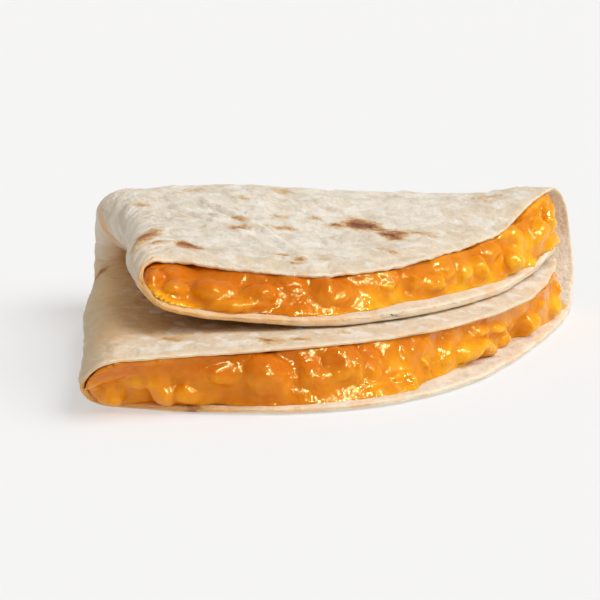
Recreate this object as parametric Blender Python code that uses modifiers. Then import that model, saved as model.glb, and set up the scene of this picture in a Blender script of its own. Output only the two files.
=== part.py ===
"""A cheese quesadilla: one round flour tortilla, folded in half over melted cheese and then in half
again, so that four sheets lie over each other with a layer of cheese between the lower two and
another between the upper two.

The tortilla is drawn as a flat disc that two folds bend into shape. On the disc, u runs across the
first fold and v across the second. The outer half of the disc (u > 0) makes the bottom and the top
sheet, and the inner half (u < 0) makes the two sheets in the middle. v < 0 is the lower layer and
v > 0 the upper one. Over the folded piece, x runs from the first fold to the right and y from the
second fold to the front, both from the corner where the folds meet. Lengths are in metres.
"""

import math

import bmesh
import bpy

MM = 0.001

# The tortilla: an 8 inch round, a little uneven, folded a few millimetres off its middle.
SHEET = 1.9 * MM
RIM_MEAN = 97.5 * MM
RIM_WAVES = (  # cosine and sine part of the first, second, third... wave round the rim
    (10.5 * MM, 5.0 * MM),
    (-5.0 * MM, 3.5 * MM),
    (0.0 * MM, 5.0 * MM),
    (-1.5 * MM, 0.5 * MM),
    (-0.5 * MM, 2.0 * MM),
    (-2.0 * MM, 0.0 * MM),
)

# First fold: a pointed arch. Its two legs have their own lengths in the lower and upper layer.
ARCH_POWER = 1.5
ARCH_ROUND = 0.15
ARCH_BACK = 11.0 * MM
ARCH_LOWER = (10.0 * MM, 12.0 * MM)  # outer sheet, inner sheet
ARCH_UPPER = (5.5 * MM, 24.0 * MM)
CREST_LOWER = 0.40  # height of the fold's edge in its layer, counted from the outer sheet
CREST_UPPER = 0.30

# Second fold: wide round the outside, tight in the middle.
LAYER_BACK = 12.9 * MM
GAP_BACK = 1.8 * MM
GAP_FRONT = 0.5 * MM
BEND_LENGTH = 1.5  # length of half the bend for each unit of its radius
MIDDLE = LAYER_BACK + GAP_BACK / 2

# How the layers lie.
FLAP_SKEW = 0.15  # the upper layer's left edge runs to the right as it comes forward
FLAP_TUCK = 3.0 * MM  # and is tucked in further halfway
FLAP_LIFT = 2.6 * MM  # the upper layer stands off the lower one at its front left corner
SIDE_BULGE = 1.3 * MM
TOP_SAG = 1.8 * MM

# The cheese.
CLEARANCE = 0.4 * MM
CHEESE_BACK = 9.0 * MM
CHEESE_SPOKES, CHEESE_RINGS, CHEESE_LEVELS = 40, 8, 4
# How far the cheese stops short of each sheet's rim: at the first fold, two thirds of the way
# round, and at the right end, where some has run out past the rim.
SHORT_OF_BOTTOM = (1.5 * MM, 5.5 * MM, 1.0 * MM)
SHORT_OF_SECOND = (1.0 * MM, 1.5 * MM, -1.5 * MM)
SHORT_OF_THIRD = (2.0 * MM, 3.5 * MM, -1.0 * MM)
SHORT_OF_TOP = (1.0 * MM, 1.0 * MM, -1.5 * MM)
LUMP_LOWER, LUMP_UPPER = 1.4 * MM, 1.2 * MM

# Grid lines of the flat disc, as parts of its reach: close together at the folds.
LINES_MM = (0, 0.7, 1.4, 2.2, 3.2, 4.6, 6.4, 8.6, 11.5, 15, 19, 24, 31, 41, 52, 63, 73, 82, 90, 97.5)


def smooth(x):
    x = min(max(x, 0.0), 1.0)
    return x * x * (3 - 2 * x)


def rim_reach(angle):
    """Reach of the rim from where the folds cross. The angle starts at the first fold, in front."""
    reach = RIM_MEAN
    for order, (along, across) in enumerate(RIM_WAVES, 1):
        reach += along * math.cos(order * angle) + across * math.sin(order * angle)
    return reach


def flap_side(x, room=140 * MM):
    return smooth(1 - x / room)


def lower_height(x, y):
    """Thickness of the lower layer, over both its sheets."""
    crown = 0.4 * MM * smooth((y - 25 * MM) / (50 * MM)) * smooth(1 - x / (110 * MM))
    thin = 1.6 * MM * smooth((x - 45 * MM) / (50 * MM)) * smooth((y - 12 * MM) / (30 * MM))
    return LAYER_BACK + crown - thin


def upper_height(x, y):
    """Thickness of the upper layer: it thins towards the front, and its top sags and flares."""
    thin = 3.4 * MM * smooth((y - 15 * MM) / (65 * MM))
    sag = TOP_SAG * smooth((x - 25 * MM) / (40 * MM)) * smooth((98 * MM - x) / (20 * MM))
    shoulder = 1.1 * MM * smooth(1 - x / (24 * MM))
    return LAYER_BACK - thin - (sag + shoulder) * smooth(1 - (y - 20 * MM) / (60 * MM))


def flap_base(x, y):
    """How far the top of the piece stands over the middle of the second fold."""
    gap = GAP_BACK + (GAP_FRONT - GAP_BACK) * smooth((y - 14 * MM) / (20 * MM))
    lift = FLAP_LIFT * smooth(1 - x / (45 * MM)) * smooth((y - 15 * MM) / (50 * MM))
    return lower_height(x, y) - LAYER_BACK + gap - GAP_BACK / 2 + upper_height(x, y) + lift


ARCH_NORM = (1 + ARCH_ROUND**2) ** (ARCH_POWER / 2) - ARCH_ROUND**ARCH_POWER
ARCH_SLOPE = ARCH_POWER * (1 + ARCH_ROUND**2) ** (ARCH_POWER / 2 - 1) / ARCH_NORM


def rise(part):
    return 1 - (1 - min(part, 1.0)) ** 2


def arch(distance, length):
    """Where a point at this distance from the fold's edge lies: sideways, and its share of the rise."""
    part = min(distance / length, 1.0)
    sideways = ((part**2 + ARCH_ROUND**2) ** (ARCH_POWER / 2) - ARCH_ROUND**ARCH_POWER) / ARCH_NORM
    return length / ARCH_SLOPE * sideways + max(distance - length, 0.0), rise(part)


def arch_rise(x, length):
    """The share of the rise at a sideways distance x from the fold's edge."""
    share = min(max(x, 0.0) * ARCH_SLOPE / length, 1.0)
    part = (share * ARCH_NORM + ARCH_ROUND**ARCH_POWER) ** (2 / ARCH_POWER) - ARCH_ROUND**2
    return rise(math.sqrt(max(part, 0.0)))


def leg(y, upper, outer):
    """Length of the first fold's leg and height of its edge, at y in front of the second fold."""
    blend = smooth((y - 12 * MM) / (25 * MM))
    lengths = ARCH_UPPER if upper else ARCH_LOWER
    length = ARCH_BACK + ((lengths[0] if outer else lengths[1]) - ARCH_BACK) * blend
    crest = 0.5 + ((CREST_UPPER if upper else CREST_LOWER) - 0.5) * blend
    return length, crest


def sheet_depth(lifted, crest, height, outer):
    """Depth of a sheet's middle in its layer, counted from the layer's outer face."""
    part = -crest if outer else 1 - crest
    return SHEET / 2 + (crest + part * lifted) * (height - SHEET)


def place(x, y, z, upper):
    """Turns sizes over the folded piece into a position: x to the right, y to the back."""
    if upper:
        tuck = FLAP_TUCK * smooth((y - 8 * MM) / (24 * MM)) * smooth((64 * MM - y) / (24 * MM))
        x += FLAP_SKEW * max(y - 4 * MM, 0.0) * flap_side(x) + tuck * smooth(1 - x / (50 * MM))
    else:
        x -= SIDE_BULGE * math.exp(-(((y - 38 * MM) / (16 * MM)) ** 2)) * smooth(1 - x / (25 * MM))
    return x, -y, z


def fold(u, v):
    """Position of a point of the flat disc's middle surface once both folds are made."""
    across, along = abs(u), abs(v)
    outer, upper = u >= 0, v >= 0
    side = 1 if outer else -1
    depth = LAYER_BACK / 2 - side * (LAYER_BACK - SHEET) / 2 * rise(across / ARCH_BACK)
    radius = MIDDLE - depth
    half_bend = BEND_LENGTH * radius
    turned = min(along / half_bend, 1.0)
    y = half_bend / 2 * turned**2 + max(along - half_bend, 0.0) + MIDDLE - SHEET / 2 - radius
    length, crest = leg(y, upper, outer)
    x, lifted = arch(across, length)
    height = upper_height(x, y) if upper else lower_height(x, y)
    depth = sheet_depth(lifted, crest, height, outer)
    reach = flap_base(x, y) - depth if upper else depth - MIDDLE
    return x, y, MIDDLE + reach * rise(turned), upper


def ruled(values):
    """The lines of the grid on both sides of a fold, as parts of the reach."""
    parts = [value / values[-1] for value in values]
    return [-part for part in reversed(parts[1:])] + parts


def build_tortilla():
    lines = ruled(LINES_MM)
    mesh = bmesh.new()
    rows = []
    for a in lines:
        row = []
        for b in lines:
            # A square grid drawn out to a disc, so that lines beside a fold stay beside it.
            across = a * math.sqrt(1 - b * b / 2)
            along = b * math.sqrt(1 - a * a / 2)
            reach = rim_reach(math.atan2(across, -along))
            row.append(mesh.verts.new(place(*fold(across * reach, along * reach))))
        rows.append(row)
    for i in range(len(lines) - 1):
        for j in range(len(lines) - 1):
            mesh.faces.new((rows[i][j], rows[i + 1][j], rows[i + 1][j + 1], rows[i][j + 1]))
    bmesh.ops.recalc_face_normals(mesh, faces=mesh.faces)
    return mesh


def cheese_faces(x, y, upper):
    """Underside and top of the room between the two sheets of a layer."""
    rim = SHEET / 2 + CLEARANCE
    found = []
    for outer in (True, False):
        length, crest = leg(y, upper, outer)
        height = upper_height(x, y) if upper else lower_height(x, y)
        depth = sheet_depth(arch_rise(x - rim, length), crest, height, outer)
        found.append(MIDDLE + flap_base(x, y) - depth if upper else depth)
    low, high = sorted(found)
    return low + rim, high - rim


def rim_place(angle, upper, outer):
    """Where the rim of a sheet lies over the folded piece. The angle starts at the first fold."""
    full = math.pi - angle if upper else angle
    reach = rim_reach(full if outer else -full)
    u, v = reach * math.sin(angle), reach * math.cos(angle)
    x, y, _, _ = fold(u if outer else -u, v if upper else -v)
    return x, y


def build_cheese(upper, short_outer, short_inner, lump, phase):
    """A lobe of cheese: it fills its layer up to a lumpy face between the two rims."""
    left = SHEET / 2 + CLEARANCE + 0.8 * MM
    mesh = bmesh.new()

    def spot(x, y, share):
        low, high = cheese_faces(x, y, upper)
        return mesh.verts.new(place(x, y, low + (high - low) * share, upper))

    def last_angle(outer):
        """Angle at which the rim reaches the lobe's back edge."""
        low, high = 0.5, math.pi / 2
        for _ in range(30):
            middle = (low + high) / 2
            if rim_place(middle, upper, outer)[1] > CHEESE_BACK:
                low = middle
            else:
                high = middle
        return low

    last = {outer: last_angle(outer) for outer in (True, False)}

    def front(i, outer):
        angle = last[outer] * (i / CHEESE_SPOKES) ** 1.15
        x, y = rim_place(max(angle, 0.001), upper, outer)
        first, middle, end = short_outer if outer else short_inner
        share = i / CHEESE_SPOKES
        short = first + (middle - first) * smooth(share / 0.65)
        short += (end - middle) * smooth((share - 0.7) / 0.3)
        near, far = x - left, y - CHEESE_BACK
        length = math.hypot(near, far)
        scale = max(length - short, 1 * MM) / length
        return max(near * scale, 0.0), max(far * scale, 0.0)

    ends = []
    for i in range(CHEESE_SPOKES + 1):
        low_end, high_end = front(i, not upper), front(i, upper)
        if i == 0:
            low_end = high_end = (0.0, min(low_end[1], high_end[1]))
        if i == CHEESE_SPOKES:
            low_end, high_end = (low_end[0], 0.0), (high_end[0], 0.0)
        ends.append((low_end, high_end))
    corner = [spot(left, CHEESE_BACK, 0), spot(left, CHEESE_BACK, 1)]
    skins = []
    for share in (0, 1):
        skin = []
        for low_end, high_end in ends:
            end = high_end if share else low_end
            steps = [j / CHEESE_RINGS for j in range(1, CHEESE_RINGS + 1)]
            skin.append([spot(left + end[0] * s, CHEESE_BACK + end[1] * s, share) for s in steps])
        skins.append(skin)
    faces = []
    for i, (low_end, high_end) in enumerate(ends):
        angle = i / CHEESE_SPOKES
        wave = math.sin(17 * angle + phase) + 0.7 * math.sin(29 * angle + 2 * phase)
        bulge = lump * (1 + 0.45 * wave) * math.sin(math.pi * angle) ** 0.5
        column = [skins[0][i][-1]]
        for level in range(1, CHEESE_LEVELS):
            share = level / CHEESE_LEVELS
            x = low_end[0] + (high_end[0] - low_end[0]) * share
            y = low_end[1] + (high_end[1] - low_end[1]) * share
            out = 1 + bulge * math.sin(math.pi * share) / max(math.hypot(x, y), 1 * MM)
            column.append(spot(left + x * out, CHEESE_BACK + y * out, share))
        column.append(skins[1][i][-1])
        faces.append(column)
    for i in range(CHEESE_SPOKES):
        for top, skin in zip(corner, skins):
            mesh.faces.new((top, skin[i][0], skin[i + 1][0]))
            for j in range(CHEESE_RINGS - 1):
                mesh.faces.new((skin[i][j], skin[i][j + 1], skin[i + 1][j + 1], skin[i + 1][j]))
        for level in range(CHEESE_LEVELS):
            here, there = faces[i], faces[i + 1]
            mesh.faces.new((here[level], there[level], there[level + 1], here[level + 1]))
    for i in (0, CHEESE_SPOKES):
        low, high = skins[0][i], skins[1][i]
        mesh.faces.new((corner[0], low[0], high[0], corner[1]))
        for j in range(CHEESE_RINGS - 2):
            mesh.faces.new((low[j], low[j + 1], high[j + 1], high[j]))
        mesh.faces.new((low[-2], *faces[i], high[-2]))
    bmesh.ops.recalc_face_normals(mesh, faces=mesh.faces)
    if mesh.calc_volume(signed=True) < 0:
        bmesh.ops.reverse_faces(mesh, faces=mesh.faces)
    return mesh


def make_object(name, mesh, colour, roughness):
    data = bpy.data.meshes.new(name)
    mesh.to_mesh(data)
    mesh.free()
    data.shade_smooth()
    material = bpy.data.materials.new(name)
    material.use_nodes = True
    shader = material.node_tree.nodes["Principled BSDF"]
    shader.inputs["Base Color"].default_value = (*colour, 1)
    shader.inputs["Roughness"].default_value = roughness
    data.materials.append(material)
    made = bpy.data.objects.new(name, data)
    collection.objects.link(made)
    return made


for old in list(bpy.data.objects):
    bpy.data.objects.remove(old)
collection = bpy.data.collections.new("quesadilla")
bpy.context.scene.collection.children.link(collection)

tortilla = make_object("tortilla", build_tortilla(), (0.80, 0.69, 0.52), 0.75)
thicken = tortilla.modifiers.new("sheet", "SOLIDIFY")
thicken.thickness = SHEET
thicken.offset = 0
thicken.use_even_offset = False

lower = build_cheese(False, SHORT_OF_BOTTOM, SHORT_OF_SECOND, LUMP_LOWER, 0.4)
cheese_lower = make_object("cheese_lower", lower, (0.80, 0.32, 0.03), 0.35)
upper = build_cheese(True, SHORT_OF_TOP, SHORT_OF_THIRD, LUMP_UPPER, 1.9)
cheese_upper = make_object("cheese_upper", upper, (0.80, 0.34, 0.03), 0.35)

# The origin is the middle of the underside.
bpy.context.view_layer.update()
depsgraph = bpy.context.evaluated_depsgraph_get()
solid = tortilla.evaluated_get(depsgraph).data
lows = [min(vertex.co[axis] for vertex in solid.vertices) for axis in range(3)]
highs = [max(vertex.co[axis] for vertex in solid.vertices) for axis in range(3)]
shift = (-(lows[0] + highs[0]) / 2, -(lows[1] + highs[1]) / 2, -lows[2])
for piece in (tortilla, cheese_lower, cheese_upper):
    for vertex in piece.data.vertices:
        vertex.co = [value + moved for value, moved in zip(vertex.co, shift)]
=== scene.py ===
"""How a cheese quesadilla looks: a round flour tortilla, folded in half over melted cheese and then
in half again, on a pale studio floor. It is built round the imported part, in metres."""

import math

import bmesh
import bpy
import numpy as np
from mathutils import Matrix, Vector


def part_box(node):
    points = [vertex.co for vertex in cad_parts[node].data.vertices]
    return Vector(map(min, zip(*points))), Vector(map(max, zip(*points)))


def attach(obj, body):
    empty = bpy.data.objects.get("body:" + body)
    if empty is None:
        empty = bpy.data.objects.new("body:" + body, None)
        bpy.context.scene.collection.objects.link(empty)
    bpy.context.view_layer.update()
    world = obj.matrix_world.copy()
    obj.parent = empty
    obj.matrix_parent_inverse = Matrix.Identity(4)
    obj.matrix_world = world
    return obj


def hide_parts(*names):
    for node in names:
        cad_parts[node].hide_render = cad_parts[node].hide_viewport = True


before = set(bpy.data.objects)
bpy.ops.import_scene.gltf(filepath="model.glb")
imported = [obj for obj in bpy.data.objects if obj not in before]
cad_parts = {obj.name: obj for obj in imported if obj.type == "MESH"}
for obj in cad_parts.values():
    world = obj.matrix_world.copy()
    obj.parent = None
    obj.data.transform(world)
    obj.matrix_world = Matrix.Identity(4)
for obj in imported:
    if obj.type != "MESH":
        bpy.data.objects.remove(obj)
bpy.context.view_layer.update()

# ---------------------------------------------------------------------------------- the tortilla
# One round of wheat dough, pressed thin and baked on a hot plate, where it blistered and browned in
# spots. It is folded in half over the lower cheese and then in half again over itself, so four
# sheets lie over each other. It is drawn flat, and the two folds bend it: on the flat round, u runs
# across the first fold and v across the second; over the folded piece, x runs right and y forward.

MM = 0.001
SHEET = 1.9 * MM
RIM_SHEET = (1.3 * MM, 0.8 * MM)  # at the rim under a cheese, and at the thinner rim over it
RIM_TAPER = 7 * MM
RIM_ROUND = 0.9 * MM
RIM_MEAN = 97.5 * MM
RIM_WAVES = (  # cosine and sine part of the first, second, third... wave round the rim
    (10.5 * MM, 5.0 * MM),
    (-5.0 * MM, 3.5 * MM),
    (0.0 * MM, 5.0 * MM),
    (-1.5 * MM, 0.5 * MM),
    (-0.5 * MM, 2.0 * MM),
    (-2.0 * MM, 0.0 * MM),
)
ARCH_POWER = 1.5
ARCH_ROUND = 0.15
ARCH_BACK = 11.0 * MM
ARCH_LOWER = (10.0 * MM, 12.0 * MM)  # outer sheet, inner sheet
ARCH_UPPER = (5.5 * MM, 24.0 * MM)
CREST_LOWER = 0.40
CREST_UPPER = 0.30
LAYER_BACK = 12.9 * MM
GAP_BACK = 1.8 * MM
GAP_FRONT = 0.5 * MM
BEND_LENGTH = 1.5
MIDDLE = LAYER_BACK + GAP_BACK / 2
FLAP_SKEW = 0.15
FLAP_TUCK = 3.0 * MM
FLAP_LIFT = 2.6 * MM
SIDE_BULGE = 1.3 * MM
TOP_SAG = 1.8 * MM
LEFT_OF_FOLD = 2.188 * MM  # how far the piece stands left of the corner where the folds meet
BEHIND_FOLD = 0.953 * MM


class Link:
    """A socket of a node tree. Sums written with links add the nodes that work them out."""

    __array_ufunc__ = None

    def __init__(self, tree, socket=None):
        self.tree, self.socket = tree, socket

    def node(self, kind, settings=None, sockets=None, output=0):
        """A new node: its settings first, then the values or links of its sockets."""
        made = self.tree.nodes.new(kind)
        for name, value in (settings or {}).items():
            setattr(made, name, value)
        for name, value in (sockets or {}).items():
            if isinstance(value, Link):
                self.tree.links.new(value.socket, made.inputs[name])
            else:
                made.inputs[name].default_value = value
        return Link(self.tree, made.outputs[output])

    def other(self, output):
        """Another output of the same node."""
        return Link(self.tree, self.socket.node.outputs[output])

    def math(self, operation, *others):
        sockets = dict(enumerate((self, *others)))
        return self.node("ShaderNodeMath", {"operation": operation}, sockets)

    def sum(self, operation, first, second):
        values = [first, second]
        if any(isinstance(v, Link) and v.socket.type in ("VECTOR", "RGBA") for v in values):
            values = [v if isinstance(v, (Link, tuple)) else (v, v, v) for v in values]
            sockets = dict(enumerate(values))
            return self.node("ShaderNodeVectorMath", {"operation": operation}, sockets)
        return self.node("ShaderNodeMath", {"operation": operation}, dict(enumerate(values)))

    def __add__(self, other):
        return self.sum("ADD", self, other)

    def __radd__(self, other):
        return self.sum("ADD", other, self)

    def __sub__(self, other):
        return self.sum("SUBTRACT", self, other)

    def __rsub__(self, other):
        return self.sum("SUBTRACT", other, self)

    def __mul__(self, other):
        return self.sum("MULTIPLY", self, other)

    def __rmul__(self, other):
        return self.sum("MULTIPLY", other, self)

    def __truediv__(self, other):
        return self.sum("DIVIDE", self, other)

    def __rtruediv__(self, other):
        return self.sum("DIVIDE", other, self)

    def __pow__(self, other):
        return self.math("POWER", other)

    def __rpow__(self, other):
        return self.node("ShaderNodeMath", {"operation": "POWER"}, {0: other, 1: self})

    def __neg__(self):
        return self * -1.0

    def __abs__(self):
        return self.math("ABSOLUTE")

    def clip(self, low, high):
        """Kept from low to high. None leaves that end free."""
        kept = self if low is None else self.math("MAXIMUM", low)
        return kept if high is None else kept.math("MINIMUM", high)


# These sums take links, to bend the tortilla in its tree, and arrays, to shape the cheese.
def above(x):
    """1 where x is over nought and 0 elsewhere."""
    return x.math("GREATER_THAN", 0.0) if isinstance(x, Link) else (x > 0) * 1.0


def cosine(x):
    return x.math("COSINE") if isinstance(x, Link) else np.cos(x)


def sine(x):
    return x.math("SINE") if isinstance(x, Link) else np.sin(x)


def angle_of(across, along):
    return across.math("ARCTAN2", along) if isinstance(across, Link) else np.arctan2(across, along)


def mix(first, second, share):
    return first + (second - first) * share


def smooth(x):
    x = x.clip(0.0, 1.0)
    return x * x * (3 - 2 * x)


def rim_reach(angle, mean=RIM_MEAN):
    """Reach of the rim from where the folds cross. The angle starts at the first fold, in front."""
    reach = mean
    for order, (along, across) in enumerate(RIM_WAVES, 1):
        reach = reach + along * cosine(order * angle) + across * sine(order * angle)
    return reach


def lower_height(x, y):
    """Thickness of the lower layer, over both its sheets."""
    crown = 0.4 * MM * smooth((y - 25 * MM) / (50 * MM)) * smooth(1 - x / (110 * MM))
    thin = 1.6 * MM * smooth((x - 45 * MM) / (50 * MM)) * smooth((y - 12 * MM) / (30 * MM))
    return LAYER_BACK + crown - thin


def upper_height(x, y):
    """Thickness of the upper layer: it thins towards the front, and its top sags and flares."""
    thin = 3.4 * MM * smooth((y - 15 * MM) / (65 * MM))
    sag = TOP_SAG * smooth((x - 25 * MM) / (40 * MM)) * smooth((98 * MM - x) / (20 * MM))
    shoulder = 1.1 * MM * smooth(1 - x / (24 * MM))
    return LAYER_BACK - thin - (sag + shoulder) * smooth(1 - (y - 20 * MM) / (60 * MM))


def flap_base(x, y):
    """How far the top of the piece stands over the middle of the second fold."""
    gap = GAP_BACK + (GAP_FRONT - GAP_BACK) * smooth((y - 14 * MM) / (20 * MM))
    lift = FLAP_LIFT * smooth(1 - x / (45 * MM)) * smooth((y - 15 * MM) / (50 * MM))
    return lower_height(x, y) - LAYER_BACK + gap - GAP_BACK / 2 + upper_height(x, y) + lift


ARCH_NORM = (1 + ARCH_ROUND**2) ** (ARCH_POWER / 2) - ARCH_ROUND**ARCH_POWER
ARCH_SLOPE = ARCH_POWER * (1 + ARCH_ROUND**2) ** (ARCH_POWER / 2 - 1) / ARCH_NORM


def rise(part):
    rest = 1 - part.clip(None, 1.0)
    return 1 - rest * rest


def arch(distance, length):
    """A point at this distance from the fold's edge: how far sideways, and its share of the rise."""
    part = (distance / length).clip(None, 1.0)
    sideways = (part * part + ARCH_ROUND**2) ** (ARCH_POWER / 2) - ARCH_ROUND**ARCH_POWER
    beyond = (distance - length).clip(0.0, None)
    return length / (ARCH_SLOPE * ARCH_NORM) * sideways + beyond, rise(part)


def arch_rise(x, length):
    """The share of the rise at a sideways distance x from the fold's edge."""
    share = (x * ARCH_SLOPE / length).clip(0.0, 1.0)
    part = (share * ARCH_NORM + ARCH_ROUND**ARCH_POWER) ** (2 / ARCH_POWER) - ARCH_ROUND**2
    return rise(part.clip(0.0, None) ** 0.5)


def leg(y, upper, outer):
    """Length of the first fold's leg and height of its edge, at y in front of the second fold."""
    blend = smooth((y - 12 * MM) / (25 * MM))
    lower_leg = mix(ARCH_LOWER[1], ARCH_LOWER[0], outer)
    upper_leg = mix(ARCH_UPPER[1], ARCH_UPPER[0], outer)
    length = mix(ARCH_BACK, mix(lower_leg, upper_leg, upper), blend)
    crest = mix(0.5, mix(CREST_LOWER, CREST_UPPER, upper), blend)
    return length, crest


def sheet_depth(lifted, crest, height, outer):
    """Depth of a sheet's middle in its layer, counted from the layer's outer face."""
    part = mix(1 - crest, -crest, outer)
    return SHEET / 2 + (crest + part * lifted) * (height - SHEET)


near_corner, far_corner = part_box("tortilla")


def place(x, y, z, upper):
    """Turns sizes over the folded piece into a position: right, back and up."""
    skew = FLAP_SKEW * (y - 4 * MM).clip(0.0, None) * smooth(1 - x / (140 * MM))
    tuck = FLAP_TUCK * smooth((y - 8 * MM) / (24 * MM)) * smooth((64 * MM - y) / (24 * MM))
    skew = skew + tuck * smooth(1 - x / (50 * MM))
    near = (y - 38 * MM) / (16 * MM)
    bulge = SIDE_BULGE * math.e ** (-1 * near * near) * smooth(1 - x / (25 * MM))
    return (
        near_corner.x + LEFT_OF_FOLD + x + mix(-1 * bulge, skew, upper),
        far_corner.y - BEHIND_FOLD - y,
        near_corner.z + z,
    )


def fold(u, v):
    """Where a point of the flat round's middle surface lies once both folds are made."""
    across, along = abs(u), abs(v)
    outer, upper = above(u), above(v)
    side = 2 * outer - 1
    depth = LAYER_BACK / 2 - side * (LAYER_BACK - SHEET) / 2 * rise(across / ARCH_BACK)
    radius = MIDDLE - depth
    half_bend = BEND_LENGTH * radius
    turned = (along / half_bend).clip(None, 1.0)
    straight = (along - half_bend).clip(0.0, None)
    y = half_bend / 2 * turned * turned + straight + MIDDLE - SHEET / 2 - radius
    length, crest = leg(y, upper, outer)
    x, lifted = arch(across, length)
    height = mix(lower_height(x, y), upper_height(x, y), upper)
    depth = sheet_depth(lifted, crest, height, outer)
    reach = mix(depth - MIDDLE, flap_base(x, y) - depth, upper)
    return x, y, MIDDLE + reach * rise(turned), upper


def new_tree(name, inputs):
    """A geometry tree with these named inputs, and a link for each of them."""
    tree = bpy.data.node_groups.new(name, "GeometryNodeTree")
    add = tree.interface.new_socket
    add("Geometry", in_out="OUTPUT", socket_type="NodeSocketGeometry")
    for label, kind in {"Geometry": "Geometry", **inputs}.items():
        add(label, in_out="INPUT", socket_type="NodeSocket" + kind)
    entry = tree.nodes.new("NodeGroupInput")
    return tree, {socket.name: Link(tree, socket) for socket in entry.outputs if socket.name}


def close_tree(geometry, finish):
    """Ends a tree in a plain mesh of one material."""
    whole = geometry.node("GeometryNodeRealizeInstances", None, {"Geometry": geometry})
    painted = whole.node("GeometryNodeSetMaterial", None, {"Geometry": whole, "Material": finish})
    leave = painted.tree.nodes.new("NodeGroupOutput")
    painted.tree.links.new(painted.socket, leave.inputs[0])


def noise(where, size, detail=2.0, roughness=0.5):
    """Noise from 0 to 1 with lumps of about this size."""
    sockets = {"Vector": where, "Scale": 1 / size, "Detail": detail, "Roughness": roughness}
    return where.node("ShaderNodeTexNoise", None, sockets)


def store(geometry, name, value, chosen=None, vector=False):
    """Keeps a value on every point of the geometry, or on the chosen ones, under this name."""
    settings = {"data_type": "FLOAT_VECTOR" if vector else "FLOAT", "domain": "POINT"}
    sockets = {"Geometry": geometry, "Name": name, "Value": value}
    if chosen is not None:
        sockets["Selection"] = chosen
    return geometry.node("GeometryNodeStoreNamedAttribute", settings, sockets)


def kept(link, name, vector=False):
    """A value that was kept on the points under this name."""
    settings = {"data_type": "FLOAT_VECTOR" if vector else "FLOAT"}
    return link.node("GeometryNodeInputNamedAttribute", settings, {"Name": name})


def parts_of(vector):
    first = vector.node("ShaderNodeSeparateXYZ", None, {0: vector})
    return first, first.other(1), first.other(2)


def joined(x, y, z):
    link = next(value for value in (x, y, z) if isinstance(value, Link))
    return link.node("ShaderNodeCombineXYZ", None, {0: x, 1: y, 2: z})


def moved(geometry, offset=None, position=None, chosen=None):
    sockets = {"Geometry": geometry}
    for label, value in (("Offset", offset), ("Position", position), ("Selection", chosen)):
        if value is not None:
            sockets[label] = value
    return geometry.node("GeometryNodeSetPosition", None, sockets)


# The lines of the flat grid lie closer together at the folds, and the last few round off the rim.
FOLD_CLOSENESS = 0.55
RIM_LINES = 4
# Long creases pressed into the top sheet: both ends on the flat round, height and half width.
CREASES = (
    ((22, 30), (38, 74), 0.50, 0.9),
    ((14, 34), (31, 66), 0.38, 0.8),
    ((36, 22), (52, 50), 0.30, 1.0),
)


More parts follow.
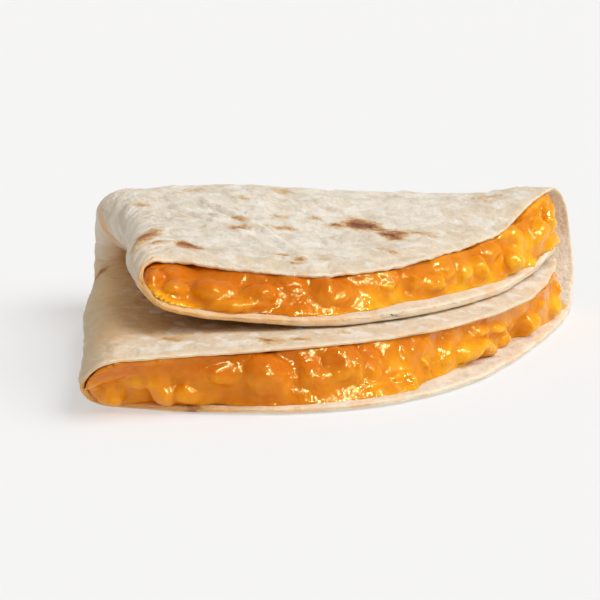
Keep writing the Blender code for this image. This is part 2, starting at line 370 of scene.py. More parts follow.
def tortilla_tree():
    tree, given = new_tree("folded_tortilla", {
        "Lines": "Int", "Rim reach": "Float", "Sheet": "Float", "Rim under": "Float",
        "Rim over": "Float", "Waves": "Float", "Wrinkles": "Float", "Blisters": "Float", "Seed": "Float",
        "Finish": "Material",
    })
    lines = given["Lines"]
    sides = {"Size X": 2.0, "Size Y": 2.0, "Vertices X": lines, "Vertices Y": lines}
    grid = lines.node("GeometryNodeMeshGrid", None, sides)

    # The square grid is drawn out to a disc, so that lines beside a fold stay beside it.
    last = RIM_LINES * 2 / (lines - 1)
    last_reach = 0.7 * RIM_ROUND / RIM_MEAN

    def line(t):
        body = (abs(t) / (1 - last)).clip(None, 1.0)
        end = 1 - ((abs(t) - 1 + last) / last).clip(0.0, 1.0)
        part = body * mix(FOLD_CLOSENESS, 1.0, body) * (1 - last_reach)
        return t.math("SIGN") * (part + last_reach * (1 - end * end))

    a, b, _ = parts_of(grid.node("GeometryNodeInputPosition"))
    a, b = line(a), line(b)
    across = a * (1 - b * b / 2) ** 0.5
    along = b * (1 - a * a / 2) ** 0.5
    part = (across * across + along * along) ** 0.5
    reach = rim_reach(angle_of(across, -along), given["Rim reach"])
    seed = given["Seed"]
    rim = joined(across * RIM_MEAN, along * RIM_MEAN, seed)
    reach = reach + (noise(rim, 9 * MM, 3.0) - 0.5) * smooth(part * 2 - 1) * (1.6 * MM)
    u, v = across * reach, along * reach
    flat = store(grid, "flat", joined(u, v, 0.0), vector=True)
    flat = store(flat, "to_rim", (1 - part) * reach)

    where = kept(flat, "flat", vector=True)
    u, v, _ = parts_of(where)
    x, y, z, upper = fold(u, v)
    bent = moved(flat, position=joined(*place(x, y, z, upper)))

    # Slack waves of the whole sheet, least where it lies on the plate or between the layers.
    spot = where + joined(seed, seed, 0.0)
    free = mix(0.35, mix(0.25, 1.0, smooth(v / (20 * MM) + 0.5)), smooth(u / (12 * MM) + 0.5))
    slack = (noise(spot, 26 * MM, 1.0) - 0.5) * 2 + (noise(spot, 11 * MM, 1.0) - 0.5)
    # Short pinches across the first fold, and long wrinkles over the rest.
    fold_u, fold_v, _ = parts_of(spot)
    pinch = noise(joined(fold_u * 0.35, fold_v, 0.0), 4.5 * MM, 2.0)
    pinch = (1 - abs(pinch - 0.5) * 5).clip(0.0, 1.0) * smooth(1.3 - abs(u) / (14 * MM))
    turned = joined(fold_u * 0.9 - fold_v * 0.43, (fold_u * 0.43 + fold_v * 0.9) * 0.38, 0.0)
    long_ones = noise(turned, 4 * MM, 3.0)
    long_ones = (1 - abs(long_ones - 0.5) * 7).clip(0.0, 1.0)
    creased = given["Wrinkles"] * (pinch * 0.9 + long_ones * 0.35) * free
    for start, end, height, width in CREASES:
        run, climb = end[0] - start[0], end[1] - start[1]
        from_u, from_v = u - start[0] * MM, v - start[1] * MM
        share = (from_u * (run / MM) + from_v * (climb / MM)) / (run * run + climb * climb)
        share = share.clip(0.0, 1.0)
        off_u, off_v = from_u - share * (run * MM), from_v - share * (climb * MM)
        beside = (off_u * off_u + off_v * off_v) / (width * MM) ** 2
        creased = creased + math.e ** (-1 * beside) * (height * MM)
    out = bent.node("GeometryNodeInputNormal")
    waved = moved(bent, offset=out * (given["Waves"] * slack * free - creased))

    # The two skins of the sheet. The outer one is puffed up in small blisters.
    edge = 1 - (kept(waved, "to_rim") / RIM_ROUND).clip(0.0, 1.0)
    rounding = mix(0.25, 1.0, (1 - edge * edge) ** 0.5)
    body = smooth(kept(waved, "to_rim") / RIM_TAPER)
    over = smooth(u * v / (200 * MM * MM) + 0.5)
    uneven = mix(0.78, 1.22, noise(spot, 10 * MM, 2.0))
    rim_thick = mix(given["Rim under"], given["Rim over"], over) * uneven
    thick = mix(rim_thick, given["Sheet"], body) * rounding
    puffed = smooth((noise(spot, 8 * MM, 2.0) - 0.52) / 0.16) * smooth((noise(spot, 3 * MM) - 0.3) / 0.5)
    puffed = puffed * given["Blisters"] * rounding * body
    # The third sheet rests on the second, all but its lifted left side.
    resting = smooth(-1 * u / (30 * MM) - 0.6) * smooth(v / (10 * MM)) * rounding
    puffed = puffed + resting * smooth(1.4 - kept(waved, "to_rim") / (20 * MM)) * (0.5 * MM)
    out = waved.node("GeometryNodeInputNormal")
    shell = store(waved, "through", out * (thick + puffed), vector=True)
    outside = moved(shell, offset=out * (thick * -0.5 - puffed))
    raised = outside.node(
        "GeometryNodeExtrudeMesh", {"mode": "FACES"},
        {"Mesh": outside, "Offset Scale": 0.0, "Individual": False},
    )
    top = raised.other(1)
    marked = store(raised, "skin", 0.0, top)
    marked = moved(marked, offset=kept(marked, "through", vector=True), chosen=top)
    marked = store(marked, "skin", 1.0, top)
    deep = kept(marked, "flat", vector=True) + joined(0.0 * seed, 0.0, SHEET)
    marked = store(marked, "flat", deep, top, vector=True)
    under = outside.node("GeometryNodeFlipFaces", None, {"Mesh": outside})
    both = joined_meshes(marked, under)
    closed = both.node("GeometryNodeMergeByDistance", None, {"Geometry": both, "Distance": 1e-7})
    # What lies on the plate is pressed flat.
    px, py, pz = parts_of(closed.node("GeometryNodeInputPosition"))
    rested = moved(closed, position=joined(px, py, pz.clip(0.0, None)))
    smoothed = rested.node("GeometryNodeSetShadeSmooth", None, {"Geometry": rested})
    close_tree(smoothed, given["Finish"])
    return tree


def joined_meshes(*meshes):
    both = meshes[0].node("GeometryNodeJoinGeometry")
    for mesh in reversed(meshes):
        both.tree.links.new(mesh.socket, both.socket.node.inputs[0])
    return both


def run_tree(name, mesh, tree, values):
    """A new object whose mesh is what the tree makes of the given one."""
    made = bpy.data.objects.new(name, mesh)
    bpy.context.scene.collection.objects.link(made)
    modifier = made.modifiers.new("tree", "NODES")
    modifier.node_group = tree
    for item in tree.interface.items_tree:
        if item.in_out == "INPUT" and item.name in values:
            modifier[item.identifier] = values[item.name]
    return made


def settle(made):
    """Turns what the modifiers of an object make into its plain mesh."""
    depsgraph = bpy.context.evaluated_depsgraph_get()
    result = made.evaluated_get(depsgraph)
    mesh = bpy.data.meshes.new_from_object(
        result, preserve_all_data_layers=True, depsgraph=depsgraph
    )
    made.modifiers.clear()
    made.data = mesh
    mesh.name = made.name
    return mesh


def attribute(link, name, vector=False):
    return link.node(
        "ShaderNodeAttribute", {"attribute_name": name}, output="Vector" if vector else "Fac"
    )


def tint(first, second, share):
    """A colour between two, each of them three numbers or a link."""
    ends = [value if isinstance(value, Link) else (*value, 1.0) for value in (first, second)]
    return share.node(
        "ShaderNodeMix", {"data_type": "RGBA"}, {0: share, 6: ends[0], 7: ends[1]}, output=2
    )


def new_finish(name):
    """A material, its shader and a link to start from."""
    material = bpy.data.materials.new(name)
    material.use_nodes = True
    tree = material.node_tree
    shader = tree.nodes["Principled BSDF"]
    return material, shader, Link(tree)


def feed(shader, **links):
    for label, link in links.items():
        link.tree.links.new(link.socket, shader.inputs[label.replace("_", " ")])


DOUGH_PALE = (0.80, 0.735, 0.635)
DOUGH = (0.735, 0.655, 0.535)
DOUGH_OILED = (0.64, 0.54, 0.40)
DOUGH_GLASSY = (0.60, 0.52, 0.40)
DOUGH_FOLD_SHADE = (0.60, 0.47, 0.29)
DOUGH_UNDER_FLAP_SHADE = (0.60, 0.30, 0.09)
DOUGH_WARM = (0.72, 0.54, 0.35)
DOUGH_FLOURY = (0.84, 0.80, 0.73)
DOUGH_LIT_THROUGH = (0.95, 0.86, 0.68)
DOUGH_FAT_AND_GAP_SHADE = (0.66, 0.40, 0.17)
RIM_PALE = (0.82, 0.69, 0.50)
RIM_GOLDEN = (0.76, 0.42, 0.13)
CHEESE_STAIN_AND_SHADE = (0.78, 0.36, 0.09)
TAN = (0.60, 0.36, 0.13)
BROWN = (0.34, 0.11, 0.03)
CHAR = (0.13, 0.03, 0.012)

baked_dough, shader, start = new_finish("baked_dough")
flat = attribute(start, "flat", vector=True)
skin = attribute(start, "skin")
to_rim = attribute(start, "to_rim")
scorch = attribute(start, "scorch")
stain_and_shade = attribute(start, "stain_and_shade")
u, v, _ = parts_of(flat)
mottle = smooth((noise(flat, 6 * MM, 4.0, 0.52) - 0.36) / 0.28)
fine = noise(flat, 1.3 * MM, 4.0, 0.7)
colour = tint(DOUGH, DOUGH_PALE, mottle)
stretched = joined(u, v * 0.8, 0.4)
glassy = smooth((noise(stretched, 4.2 * MM, 3.0, 0.55) - 0.50) / 0.14)
colour = tint(colour, DOUGH_GLASSY, glassy * 0.55)
oiled = smooth((noise(flat + (0.3, 0.1, 0.0), 10 * MM, 5.0, 0.6) - 0.50) / 0.14)
colour = tint(colour, DOUGH_OILED, oiled * 0.45)
# Painted shade: the lower layer's left fold, which the upper flap shades, is darkened towards brown.
fold_shade = smooth(1.3 - abs(u) / (12 * MM)) * smooth(-1 * v / (10 * MM))
colour = tint(colour, DOUGH_FOLD_SHADE, fold_shade * 0.70)
over = smooth(u * v / (200 * MM * MM) + 0.5)
colour = tint(colour, DOUGH_WARM, over * smooth(1.1 - to_rim / (18 * MM)) * 0.45)
# The two middle sheets are golden with fat from the cheese, and partly darkened as painted shade of the
# gap between the layers, most where they are folded together.
inside = smooth(-1 * u / (10 * MM))
colour = tint(colour, DOUGH_FAT_AND_GAP_SHADE, inside * mix(0.22, 0.85, smooth((to_rim - 6 * MM) / (14 * MM))))
# Painted shade: the underside of the lifted flap's left curl, over the shaded gap, is darkened to orange
# brown.
under_flap_shade = inside * smooth(1 + u / (55 * MM)) * smooth(v / (8 * MM)) * (1 - skin)
colour = tint(colour, DOUGH_UNDER_FLAP_SHADE, under_flap_shade * 0.7)
golden = smooth(1.1 - abs(u) / (70 * MM)) * smooth(0.9 - u * v / (900 * MM * MM))
rim = tint(RIM_PALE, RIM_GOLDEN, golden)
colour = tint(colour, rim, smooth(1 - to_rim / (2.0 * MM)) * mix(0.6, 0.9, golden))
# Beside the cheese the skins have soaked up its colour, closer to the rim over it than under it.
fat = smooth((noise(flat, 5 * MM, 3.0) - 0.48) / 0.14) * smooth(1 - to_rim / (2.5 * MM))
inner = skin * smooth((to_rim - mix(4 * MM, 0.9 * MM, over)) / mix(9 * MM, 2.5 * MM, over))
# The listed stains, and the one spot of painted shade among them, take the same colour.
colour = tint(colour, CHEESE_STAIN_AND_SHADE, (inner * 0.75 + fat * 0.35 + stain_and_shade).clip(0.0, 1.0))
floury = smooth((noise(flat + (0.1, 0.5, 0.0), 5.0 * MM, 2.5, 0.5) - 0.52) / 0.10) * (1 - skin)
colour = tint(colour, DOUGH_FLOURY, floury * smooth(to_rim / (2 * MM)) * mix(0.08, 0.6, smooth((abs(u) - 8 * MM) / (12 * MM))))
# Painted light: the inner face of the outer sheets beside the second fold, inside the wrap at the right
# end, is made paler to stand in for light shining through the sheet.
lit_through = skin * above(u) * smooth(1.2 - abs(v) / (14 * MM)) * smooth(1.2 - to_rim / (14 * MM))
colour = tint(colour, DOUGH_LIT_THROUGH, lit_through * smooth(to_rim / (4 * MM)) * 0.85)
spread = noise(flat, 2.6 * MM, 8.0, 0.72)
specks = noise(flat, 0.8 * MM, 4.0, 0.7)
burn = scorch + (spread - 0.5) * 1.9 + (specks - 0.5) * 0.6
colour = tint(colour, TAN, smooth((burn - 0.26) / 0.40) * 0.75)
colour = tint(colour, BROWN, smooth((burn - 0.62) / 0.30) * 0.85)
colour = tint(colour, CHAR, smooth((burn - 1.0) / 0.26) * 0.8)
colour = colour * mix(0.95, 1.05, fine)
flour = smooth((noise(flat, 0.7 * MM, 3.0, 0.6) - 0.56) / 0.1) * smooth((mottle - 0.3) / 0.5)
colour = tint(colour, (0.86, 0.83, 0.77), flour * 0.15)
pores = noise(flat, 1.2 * MM, 4.0, 0.6) * 0.5 + noise(flat, 3.4 * MM, 4.0, 0.52) * 3.0
bump = start.node(
    "ShaderNodeBump", None, {"Strength": 0.9, "Distance": 0.42 * MM, "Height": pores}
)
rough = mix(0.78, 0.55, oiled) - 0.10 * smooth((burn - 0.5) / 0.3)
feed(shader, Base_Color=colour, Roughness=rough, Normal=bump)
shader.inputs["Subsurface Weight"].default_value = 0.35
shader.inputs["Subsurface Radius"].default_value = (1.0, 0.66, 0.38)
shader.inputs["Subsurface Scale"].default_value = 1.4 * MM
shader.inputs["Specular IOR Level"].default_value = 0.3

# Browned spots on the flat round: u, v, half length and half width in mm, turn in degrees, strength.
SCORCHED = (
    # the top sheet
    (5.0, 61.5, 7.0, 2.6, 100, 1.01),
    (7.4, 68.6, 2.2, 1.5, 20, 0.86),
    (13.4, 70.4, 3.6, 2.4, 60, 1.26),
    (7.6, 31.8, 3.2, 1.5, 80, 0.66),
    (21.6, 23.2, 3.4, 3.0, 0, 0.56),
    (31.8, 30.0, 3.2, 2.4, 0, 0.61),
    (41.5, 22.5, 3.4, 3.9, 0, 0.72),
    (26.3, 45.2, 4.6, 1.1, 65, 0.84),
    (25.4, 52.6, 3.2, 2.1, -20, 0.88),
    (30.6, 53.0, 3.0, 1.2, 0, 0.68),
    (35.6, 50.3, 3.2, 2.1, -30, 0.84),
    (36.3, 41.3, 2.8, 1.5, 0, 0.66),
    (44.3, 41.1, 2.5, 1.5, 0, 0.66),
    (50.0, 45.0, 4.4, 2.4, -15, 0.78),
    (54.5, 42.8, 4.4, 4.0, 10, 1.30),
    (57.6, 45.6, 2.8, 2.2, 30, 0.91),
    (60.2, 50.0, 4.4, 3.0, 80, 1.30),
    (61.8, 47.2, 2.4, 2.2, 0, 1.01),
    (66.0, 46.6, 3.8, 1.8, 10, 0.80),
    (69.2, 49.2, 2.0, 1.5, 0, 0.68),
    (58.4, 64.2, 3.8, 1.8, 50, 0.68),
    (33.2, 71.5, 2.4, 1.6, 40, 0.80),
    (36.6, 74.6, 1.8, 1.8, 0, 0.84),
    (35.6, 77.4, 2.6, 1.4, 10, 0.68),
    (42.5, 73.2, 1.6, 1.4, 0, 0.68),
    (86.0, 24.5, 4.0, 3.9, 0, 0.56),
    # the sheet under it in front
    (-16.8, -74.3, 1.9, 1.5, 0, 0.72),
    (-21.8, -79.4, 3.6, 2.7, 0, 0.78),
    (-41.0, -80.1, 3.6, 2.4, 10, 0.80),
    (-47.2, -78.3, 2.2, 1.5, 0, 0.92),
    (-55.4, -72.1, 2.2, 1.8, 0, 0.72),
    # the rim of the bottom sheet
    (25.0, -106.5, 3.2, 1.6, 0, 0.95),
)
# Where cheese has run over the dough and stained it, and one spot of painted shade on the lower fold
# under the flap's corner.
CHEESE_STAINS_AND_SHADE = (
    (-1.0, 15.5, 3.4, 2.6, 90, 0.75),
    # painted shade on the lower fold, where the flap's corner shades it
    (1.0, -12.0, 7.0, 4.0, 90, 0.8),
)
# More spots lie at random on the underside, round the second fold and inside.
SPOTS_BELOW = 60


def falloff(points, spots):
    """How strongly each point of the flat round lies in any of the spots, from 0 up."""
    total = np.zeros(len(points))
    for u, v, long, wide, turn, strength in spots:
        du, dv = points[:, 0] / MM - u, points[:, 1] / MM - v
        turned = math.radians(turn)
        along = du * math.cos(turned) + dv * math.sin(turned)
        across = dv * math.cos(turned) - du * math.sin(turned)
        off = (along / long) ** 2 + (across / wide) ** 2
        total = np.maximum(total, strength * np.exp(-off * 0.8))
    return total


def paint(mesh, name, values):
    layer = mesh.attributes.new(name, "FLOAT", "POINT")
    layer.data.foreach_set("value", values.astype(np.float32))


tortilla = run_tree("tortilla_sheet", bpy.data.meshes.new("tortilla"), tortilla_tree(), {
    "Lines": 211, "Rim reach": RIM_MEAN, "Sheet": SHEET, "Rim under": RIM_SHEET[0],
    "Rim over": RIM_SHEET[1], "Waves": 0.40 * MM, "Wrinkles": 0.70 * MM, "Blisters": 0.60 * MM,
    "Seed": 4.2,
    "Finish": baked_dough,
})
mesh = settle(tortilla)
points = np.zeros(len(mesh.vertices) * 3)
mesh.attributes["flat"].data.foreach_get("vector", points)
points = points.reshape(-1, 3)
draw = np.random.default_rng(12)
spots = list(SCORCHED)
while len(spots) < len(SCORCHED) + SPOTS_BELOW:
    spot_u, spot_v = draw.uniform(-88, 88), draw.uniform(-88, 88)
    size, strength = draw.uniform(1.2, 4.2), draw.uniform(0.55, 1.1)
    if math.hypot(spot_u, spot_v) < 88 and (spot_v < 0 < spot_u or abs(spot_v) < 12 or -60 < spot_v < -4):
        spots.append((spot_u, spot_v, size, size * 0.6, draw.uniform(0, 180), strength))
paint(mesh, "scorch", falloff(points, spots))
paint(mesh, "stain_and_shade", falloff(points, CHEESE_STAINS_AND_SHADE))
mesh.attributes.remove(mesh.attributes["through"])
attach(tortilla, "root")
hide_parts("tortilla")

# ------------------------------------------------------------------------------ the lower cheese
# Grated orange cheese, melted between the bottom sheet and the one over it. It fills its layer up
# to a lumpy wet front between the two rims, where half melted shreds still show as soft lumps.

CHEESE_BACK = 9.0 * MM
CHEESE_LEFT = 0.7 * MM
CLING = 0.40 * MM  # half the dough between two cheeses is this thin where they cling to it
CHEESE_FOOT = 0.6 * MM  # how far it creeps along the dough, under it and over it
SPOKES, RINGS, LEVELS = 90, 16, 8
VOXEL = 0.45 * MM
# How far the cheese stops short of a rim, every tenth of the way from the first fold round to the
# right end, where some has run out past it: at the sheet under the cheese and the one over it.
SHORT_OF_BOTTOM = (0.6, 1.2, 1.7, 2.0, 2.0, 3.0, 6.6, 6.6, 5.2, 2.6, 1.4)
SHORT_OF_SECOND = (0.4, 1.0, 1.4, 1.4, 1.4, 1.6, 1.8, 1.6, 1.0, 0.0, 1.0)
# Lumps at the front: share of the way round, share of the height, how far out, half length, half
# depth and half height, all three in mm, and heading and lean in degrees.
LUMPS_LOWER = (
    (0.06, 0.34, 1.1, 2.2, 3.2, 2.2, 0, 25),
    (0.09, 0.36, 2.0, 3.6, 3.4, 4.2, 0, 10),
    (0.17, 0.48, 2.4, 2.7, 3.4, 5.4, 5, -10),
    (0.215, 0.34, 2.1, 4.0, 3.4, 3.0, 0, 8),
    (0.27, 0.60, 1.3, 5.4, 4.0, 3.6, 8, -6),
    (0.32, 0.38, 2.0, 5.6, 5.0, 5.6, 10, 0),
    (0.38, 0.56, 1.1, 5.4, 5.0, 5.2, 18, 0),
    (0.425, 0.42, 1.9, 6.0, 5.4, 5.6, 25, -8),
    (0.465, 0.50, 2.0, 3.6, 4.4, 4.8, 45, 12),
    (0.5, 0.26, 1.1, 5.6, 4.0, 2.8, 20, 4),
    (0.54, 0.66, 1.1, 8.2, 5.0, 4.4, 40, -12),
    (0.555, 0.30, 1.9, 1.2, 2.4, 2.6, 50, -25),
    (0.6, 0.45, 1.6, 4.6, 3.8, 3.2, 40, 0),
    (0.645, 0.34, 2.4, 7.6, 3.6, 2.2, 32, -4),
    (0.69, 0.30, 2.6, 5.0, 3.4, 2.2, 30, 8),
    (0.67, 0.70, 1.8, 6.6, 3.4, 1.9, 36, -6),
    (0.74, 0.62, 1.7, 4.8, 3.2, 2.0, 40, 14),
    (0.755, 0.16, 2.4, 2.2, 2.4, 1.9, 30, 0),
    (0.825, 0.30, 3.2, 3.5, 3.6, 3.1, 35, -15),
    (0.86, 0.62, 2.0, 2.6, 2.6, 2.0, 40, 0),
    (0.925, 0.26, 2.2, 3.0, 3.2, 3.4, 60, 15),
    (0.95, 0.62, 1.6, 2.0, 2.4, 2.2, 60, 0),
)


def cheese_faces(x, y, upper):
    """Underside and top of the room between the two sheets of a layer."""
    found = []
    for outer in (1.0, 0.0):
        length, crest = leg(y, upper, outer)
        height = mix(lower_height(x, y), upper_height(x, y), upper)
        depth = sheet_depth(arch_rise(x - CLING, length), crest, height, outer)
        found.append(mix(depth, MIDDLE + flap_base(x, y) - depth, upper))
    return np.minimum(*found) + CLING, np.maximum(*found) - CLING


def rim_place(angle, upper, outer):
    """Where the rim of a sheet lies over the folded piece. The angle starts at the first fold."""
    full = math.pi - angle if upper else angle
    reach = rim_reach(full if outer else -full)
    u, v = reach * np.sin(angle), reach * np.cos(angle)
    x, y, _, _ = fold(u if outer else -u, v if upper else -v)
    return x, y


def front_edge(share, upper, outer, shorts):
    """The cheese's edge on a sheet, at these shares of the way round from the first fold."""
    low, high = 0.5, math.pi / 2
    for _ in range(30):
        middle = (low + high) / 2
        if rim_place(np.array([middle]), upper, outer)[1][0] > CHEESE_BACK:
            low = middle
        else:
            high = middle
    x, y = rim_place(np.maximum(low * share**1.15, 0.001), upper, outer)
    short = np.interp(share * 10, range(11), shorts) * MM
    near, far = x - CHEESE_LEFT, y - CHEESE_BACK
    length = np.hypot(near, far)
    scale = np.maximum(length - short, 1 * MM) / length
    return np.maximum(near * scale, 0.0), np.maximum(far * scale, 0.0)


def on_front(share, height, out, upper, shorts):
    """Points of the cheese's front at these shares round and up, and this far out from it."""
    low_x, low_y = front_edge(share, upper, not upper, shorts[0])
    high_x, high_y = front_edge(share, upper, bool(upper), shorts[1])
    x, y = mix(low_x, high_x, height), mix(low_y, high_y, height)
    along = 1 + out / np.maximum(np.hypot(x, y), 1 * MM)
    x, y = CHEESE_LEFT + x * along, CHEESE_BACK + y * along
    low, high = cheese_faces(x, y, upper)
    return np.stack(place(x, y, mix(low, high, height), upper), -1)


def lobe(upper, shorts, bulge):
    """The body of a layer of cheese, as points and faces."""
    share = np.linspace(0, 1, SPOKES + 1)
    points, index = [], {}

    def add(name, where):
        index[name] = len(points) + np.arange(len(where))
        points.extend(where.tolist())

    for level in range(LEVELS + 1):
        height = level / LEVELS
        out = bulge * math.sin(math.pi * height) * np.sin(math.pi * share) ** 0.3
        out = out + CHEESE_FOOT * abs(2 * height - 1) ** 6
        add(("front", level), on_front(share, height, out, upper, shorts))
    for side, level in ((0, 0), (1, LEVELS)):
        edge_x, edge_y = front_edge(share, upper, bool(upper) == bool(side), shorts[side])
        for ring in range(1, RINGS):
            x = CHEESE_LEFT + edge_x * ring / RINGS
            y = CHEESE_BACK + edge_y * ring / RINGS
            faces = cheese_faces(x, y, upper)
            add((side, ring), np.stack(place(x, y, faces[side], upper), -1))
        index[(side, RINGS)] = index[("front", level)]
        x, y = np.array([CHEESE_LEFT]), np.array([CHEESE_BACK])
        add((side, 0), np.stack(place(x, y, cheese_faces(x, y, upper)[side], upper), -1))
    faces = []
    for i in range(SPOKES):
        for side in (0, 1):
            inner = index[(side, 1)]
            faces.append((index[(side, 0)][0], inner[i], inner[i + 1]))
            for ring in range(1, RINGS):
                here, there = index[(side, ring)], index[(side, ring + 1)]
                faces.append((here[i], there[i], there[i + 1], here[i + 1]))
        for level in range(LEVELS):
            here, there = index[("front", level)], index[("front", level + 1)]
            faces.append((here[i], here[i + 1], there[i + 1], there[i]))
    for i in (0, SPOKES):
        low, high = index[(0, 0)][0], index[(1, 0)][0]
        for ring in range(1, RINGS):
            faces.append((low, index[(0, ring)][i], index[(1, ring)][i], high))
            low, high = index[(0, ring)][i], index[(1, ring)][i]
        column = [index[("front", level)][i] for level in range(LEVELS + 1)]
        faces.append((low, *column, high))
    return points, [tuple(int(corner) for corner in face) for face in faces]


def cheese_base(name, upper, shorts, bulge, lumps):
    """The lobe of a layer, with a loose point for each lump that holds its size and turn."""
    points, faces = lobe(upper, shorts, bulge)
    count = len(points)
    sizes, turns = np.zeros((count + len(lumps), 3)), np.zeros((count + len(lumps), 3))
    for i, (share, height, stands, long, deep, tall, heading, lean) in enumerate(lumps):
        out = (stands - deep) * MM
        floor, where, roof = (
            on_front(np.array([share]), part, out, upper, shorts)[0] for part in (0, height, 1)
        )
        room = max((roof[2] - floor[2]) / 2 - tall * MM, 0.0)
        middle = (floor[2] + roof[2]) / 2
        where[2] = min(max(where[2], middle - room), middle + room)
        tall = min(tall, (roof[2] - floor[2]) / 2 / MM)
        points.append(where.tolist())
        sizes[count + i] = long * MM, deep * MM, tall * MM
        turns[count + i] = 0, math.radians(lean), math.radians(heading)
    mesh = bpy.data.meshes.new(name)
    mesh.from_pydata(points, [], faces)
    shape = bmesh.new()
    shape.from_mesh(mesh)
    bmesh.ops.recalc_face_normals(shape, faces=shape.faces)
    if shape.calc_volume(signed=True) < 0:
        bmesh.ops.reverse_faces(shape, faces=shape.faces)
    shape.to_mesh(mesh)
    shape.free()
    for label, values in (("lump_size", sizes), ("lump_turn", turns)):
        layer = mesh.attributes.new(label, "FLOAT_VECTOR", "POINT")
        layer.data.foreach_set("vector", values.astype(np.float32).ravel())
    return mesh


def lumps_tree():
    """Sets a lump of cheese at every point that has a size for one."""
    tree, given = new_tree("cheese_lumps", {
        "Roundness": "Int", "Unevenness": "Float", "Finish": "Material",
    })
    base = given["Geometry"]
    size = kept(base, "lump_size", vector=True)
    has_lump = above(parts_of(size)[0])
    lump = base.node(
        "GeometryNodeMeshIcoSphere", None, {"Radius": 1.0, "Subdivisions": given["Roundness"]}
    )
    placed = base.node("GeometryNodeInstanceOnPoints", None, {
        "Points": base, "Selection": has_lump, "Instance": lump,
        "Rotation": kept(base, "lump_turn", vector=True), "Scale": size,
    })
    single = base.node("GeometryNodeRealizeInstances", None, {"Geometry": placed})
    # No lump is quite round.
    here = single.node("GeometryNodeInputPosition")
    uneven = noise(here, 5 * MM, 2.0).other("Color") - (0.5, 0.5, 0.5)
    single = moved(single, offset=uneven * (1.0, 1.0, 0.25) * given["Unevenness"])
    body = base.node(
        "GeometryNodeDeleteGeometry", {"domain": "POINT"}, {"Geometry": base, "Selection": has_lump}
    )
    close_tree(joined_meshes(body, single), given["Finish"])
    return tree


def melt_tree():
    """Gives melted cheese the shreds that still show in it and its uneven wet surface."""
    tree, given = new_tree("melted_surface", {
        "Shreds": "Float", "Folds": "Float", "Beads": "Float", "Seed": "Float",
        "Finish": "Material",
    })
    base = given["Geometry"]
    seed = given["Seed"]
    spot = base.node("GeometryNodeInputPosition") + joined(seed, seed, 0.0)
    along, back, up = parts_of(spot)
    bent = noise(spot, 9 * MM, 1.0) * (6 * MM)
    lying = joined((along + bent) * 0.72, back * 0.9 + bent, up * 1.25 + bent * 0.5)
    cell = base.node("ShaderNodeTexVoronoi", {"feature": "SMOOTH_F1"}, {
        "Vector": lying, "Scale": 1 / (6.2 * MM), "Smoothness": 0.28,
    })
    shreds = 0.56 - cell
    folds = (noise(spot, 5 * MM, 2.0, 0.55) - 0.5) * 2
    beads = (noise(spot, 1.7 * MM, 2.0) - 0.5) * 2
    patches = smooth((noise(spot, 7 * MM, 1.0) - 0.42) / 0.2)
    out = base.node("GeometryNodeInputNormal")
    shape = given["Shreds"] * shreds + given["Folds"] * folds + given["Beads"] * beads * patches
    melted = moved(base, offset=out * shape)
    # How far each point stands over its surroundings.
    here = melted.node("GeometryNodeInputPosition")
    around = melted.node(
        "GeometryNodeBlurAttribute", {"data_type": "FLOAT_VECTOR"}, {"Value": here, "Iterations": 14},
    )
    out = melted.node("GeometryNodeInputNormal")
    crest = out.node("ShaderNodeVectorMath", {"operation": "DOT_PRODUCT"}, {
        0: here - around, 1: out,
    }, output="Value")
    marked = store(melted, "crest", crest / (0.5 * MM))
    smoothed = marked.node("GeometryNodeSetShadeSmooth", None, {"Geometry": marked})
    close_tree(smoothed, given["Finish"])
    return tree


CHEESE = (0.84, 0.315, 0.005)
CHEESE_DEEP = (0.66, 0.165, 0.003)
CHEESE_PALE = (0.97, 0.56, 0.018)

melted_cheese, shader, start = new_finish("melted_cheese")
spot = start.node("ShaderNodeTexCoord", output="Object")
crest = attribute(start, "crest").clip(-0.8, 0.8)
run = parts_of(spot)[0]
# Painted light: the cheese is made lighter towards the right, where the lamp falls.
lit = smooth((run + 20 * MM) / (70 * MM))
off = (run + 11 * MM) / (15 * MM)
dim = math.e ** (-1 * off * off)
# Paler on the crests of lumps, where half melted shreds stand, and darker in the hollows between them as
# painted shade; darker too in a band left of the middle.
blend = crest * 0.32 + (noise(spot, 8 * MM, 3.0, 0.55) - 0.5) * 1.5 + lit * 0.36 - dim * 0.40
# Painted shade: darker towards the top of the front, under the sheet over the cheese.
blend = blend + 0.10 - smooth((attribute(start, "rise") - 0.45) / 0.45) * mix(0.65, 0.30, lit)
colour = tint(CHEESE_DEEP, CHEESE, smooth(blend * 0.8 + 0.5))
pale = blend - 0.10 + (noise(spot + (0.1, 0.2, 0.0), 4 * MM, 4.0, 0.6) - 0.5) * 0.8
colour = tint(colour, CHEESE_PALE, smooth(pale) * 0.9)
wet = smooth((noise(spot, 5 * MM, 1.0) - 0.46) / 0.12)
crinkles = (1 - abs(noise(spot, 2.0 * MM, 2.0, 0.5) - 0.5) * 5).clip(0.0, 1.0)
grains = crinkles * mix(0.08, 1.0, wet) + noise(spot, 2.4 * MM, 3.0, 0.6) * 1.6
bump = start.node("ShaderNodeBump", None, {"Strength": 0.45, "Distance": 0.25 * MM, "Height": grains})
rough = mix(0.22, 0.11, wet)
feed(shader, Base_Color=colour, Roughness=rough, Normal=bump)
shader.inputs["Subsurface Weight"].default_value = 0.4
shader.inputs["Subsurface Radius"].default_value = (1.0, 0.45, 0.10)
shader.inputs["Subsurface Scale"].default_value = 2.0 * MM
shader.inputs["Specular IOR Level"].default_value = 0.45
shader.inputs["Specular Tint"].default_value = (0.85, 1.0, 0.45, 1)
shader.inputs["Coat Weight"].default_value = 0.04
shader.inputs["Coat Roughness"].default_value = 0.05


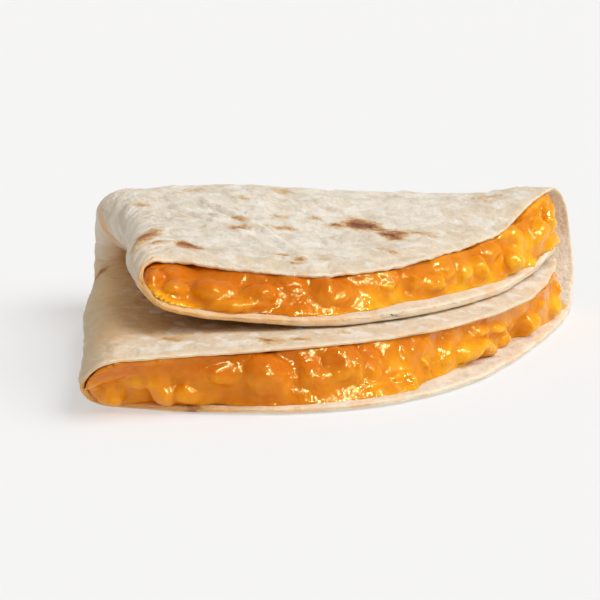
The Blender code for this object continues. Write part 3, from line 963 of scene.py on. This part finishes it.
def make_cheese(name, upper, shorts, bulge, lumps, seed):
    """A lobe and its lumps, melted into one."""
    base = cheese_base(name, upper, shorts, bulge, lumps)
    made = run_tree(name, base, lumps_tree(), {
        "Roundness": 4, "Unevenness": 4.2 * MM, "Finish": melted_cheese,
    })
    melt = made.modifiers.new("melt", "REMESH")
    melt.mode = "VOXEL"
    melt.voxel_size = VOXEL
    soften = made.modifiers.new("soften", "SMOOTH")
    soften.factor = 0.5
    soften.iterations = 4
    surface = made.modifiers.new("surface", "NODES")
    surface.node_group = melt_tree()
    values = {
        "Shreds": 1.7 * MM, "Folds": 0.40 * MM, "Beads": 0.30 * MM, "Seed": seed,
        "Finish": melted_cheese,
    }
    for item in surface.node_group.interface.items_tree:
        if item.in_out == "INPUT" and item.name in values:
            surface[item.identifier] = values[item.name]
    mesh = settle(made)

    # The dough holds it in: no lump comes through the sheet under it or over it.
    points = np.zeros(len(mesh.vertices) * 3)
    mesh.vertices.foreach_get("co", points)
    points = points.reshape(-1, 3)
    right = points[:, 0] - near_corner.x - LEFT_OF_FOLD
    y = far_corner.y - BEHIND_FOLD - points[:, 1]
    x = right
    for _ in range(6):
        x = right - (place(x, y, 0.0, upper)[0] - near_corner.x - LEFT_OF_FOLD - x)
    low, high = cheese_faces(x, y, upper)
    sunk = 0.6 * CLING
    z = np.clip(points[:, 2] - near_corner.z, low - sunk, high + sunk)
    points[:, 2] = near_corner.z + z
    paint(mesh, "rise", np.clip((z - low) / np.maximum(high - low, 1 * MM), 0, 1))
    mesh.vertices.foreach_set("co", points.ravel())
    mesh.update()
    return made


cheese_lower = make_cheese(
    "cheese_lower_melt", 0.0, (SHORT_OF_BOTTOM, SHORT_OF_SECOND), 0.4 * MM, LUMPS_LOWER, 1.7
)
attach(cheese_lower, "root")
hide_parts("cheese_lower")

# ------------------------------------------------------------------------------ the upper cheese
# The same cheese, melted between the third sheet and the top one.

SHORT_OF_THIRD = (0.8, 1.6, 2.0, 2.0, 2.0, 2.6, 4.0, 4.0, 2.8, 1.0, -0.5)
SHORT_OF_TOP = (0.6, 1.1, 1.3, 1.2, 1.2, 1.4, 1.4, 1.0, 0.4, -0.5, 0.5)
LUMPS_UPPER = (
    (0.07, 0.40, 0.9, 1.8, 3.0, 1.6, 0, -20),
    (0.12, 0.70, 2.0, 3.4, 3.2, 2.6, -8, 12),
    (0.13, 0.36, 2.2, 2.2, 2.4, 2.0, 0, 0),
    (0.22, 0.35, 1.9, 6.0, 3.2, 2.8, 2, 5),
    (0.27, 0.16, 2.3, 7.0, 2.6, 1.3, 6, 2),
    (0.3, 0.36, 2.1, 3.6, 3.2, 2.8, 8, 0),
    (0.36, 0.50, 0.7, 5.0, 4.4, 3.6, 14, 0),
    (0.42, 0.50, 1.7, 3.8, 3.8, 3.5, 20, 0),
    (0.455, 0.46, 1.9, 3.2, 3.6, 3.2, 30, 8),
    (0.5, 0.36, 1.2, 1.7, 2.2, 1.7, 30, 0),
    (0.555, 0.48, 1.5, 4.4, 4.0, 3.5, 35, -6),
    (0.605, 0.36, 1.9, 2.6, 3.0, 2.8, 40, 0),
    (0.66, 0.26, 1.6, 3.8, 3.0, 2.1, 40, 0),
    (0.68, 0.66, 1.6, 4.2, 3.8, 3.2, 40, 0),
    (0.735, 0.40, 2.0, 2.8, 3.2, 2.9, 35, 10),
    (0.775, 0.36, 2.4, 2.9, 3.2, 3.3, 35, 0),
    (0.8, 0.72, 1.9, 4.2, 3.0, 1.8, 30, -8),
    (0.855, 0.30, 2.8, 2.8, 3.2, 2.9, 40, 0),
    (0.875, 0.72, 1.3, 5.2, 4.0, 3.2, 45, 0),
    (0.93, 0.40, 2.2, 3.0, 3.4, 4.4, 55, 12),
    (0.965, 0.55, 1.7, 2.2, 2.8, 3.2, 60, 0),
)

cheese_upper = make_cheese(
    "cheese_upper_melt", 1.0, (SHORT_OF_THIRD, SHORT_OF_TOP), 0.4 * MM, LUMPS_UPPER, 3.1
)
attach(cheese_upper, "root")
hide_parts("cheese_upper")

# ------------------------------------------------------------------------- floor, light, camera
# A pale studio floor under one large soft lamp from the right and above, with a weak fill.

floor_mesh = bpy.data.meshes.new("studio_floor")
shape = bmesh.new()
bmesh.ops.create_grid(shape, x_segments=1, y_segments=1, size=4.0)
shape.to_mesh(floor_mesh)
shape.free()
floor = bpy.data.objects.new("studio_floor", floor_mesh)
floor.location.z = -0.05 * MM
bpy.context.scene.collection.objects.link(floor)
pale_floor, shader, start = new_finish("pale_floor")
shader.inputs["Base Color"].default_value = (0.44, 0.445, 0.45, 1)
shader.inputs["Roughness"].default_value = 0.9
shader.inputs["Emission Color"].default_value = (1.0, 1.0, 1.0, 1)
shader.inputs["Emission Strength"].default_value = 0.435
floor_mesh.materials.append(pale_floor)


def sun(name, towards, strength, width, colour):
    """A lamp far off in this direction, seen this many degrees wide."""
    lamp = bpy.data.lights.new(name, "SUN")
    lamp.energy = strength
    lamp.angle = math.radians(width)
    lamp.color = colour
    made = bpy.data.objects.new(name, lamp)
    made.rotation_euler = Vector(towards).to_track_quat("Z", "Y").to_euler()
    bpy.context.scene.collection.objects.link(made)
    return made


softbox = sun("softbox", (0.64, -0.12, 0.76), 2.42, 60, (0.98, 1.0, 1.03))
softbox.visible_glossy = False
front_fill = sun("front_fill", (-0.10, -0.86, 0.50), 0.50, 90, (1.0, 0.97, 0.92))
front_fill.visible_glossy = False
glint = sun("glint", (0.48, -0.36, 0.78), 2.8, 12, (1.0, 0.97, 0.90))
glint.visible_diffuse = False
side_glint = sun("side_glint", (0.80, -0.42, 0.46), 1.5, 9, (1.0, 0.97, 0.90))
side_glint.visible_diffuse = False
low_glint = sun("low_glint", (0.30, -0.62, 0.60), 1.4, 8, (1.0, 0.97, 0.90))
low_glint.visible_diffuse = False
world = bpy.data.worlds.new("studio")
world.use_nodes = True
world.node_tree.nodes["Background"].inputs["Color"].default_value = (1.0, 0.93, 0.84, 1)
world.node_tree.nodes["Background"].inputs["Strength"].default_value = 0.38
bpy.context.scene.world = world
bpy.context.scene.view_settings.view_transform = "Standard"

camera = bpy.data.objects.new("camera", bpy.data.cameras.new("camera"))
bpy.context.scene.collection.objects.link(camera)
TILT = math.radians(13)
CAMERA_AWAY = 1.1
aim = Vector((-0.00697, 0.00291, 0.012))
camera.location = aim - Vector((0, math.cos(TILT), -math.sin(TILT))) * CAMERA_AWAY
camera.rotation_euler = (math.pi / 2 - TILT, 0, 0)
camera.data.sensor_width = 36
camera.data.lens = 320.1
camera.data.clip_end = 20
bpy.context.scene.camera = camera
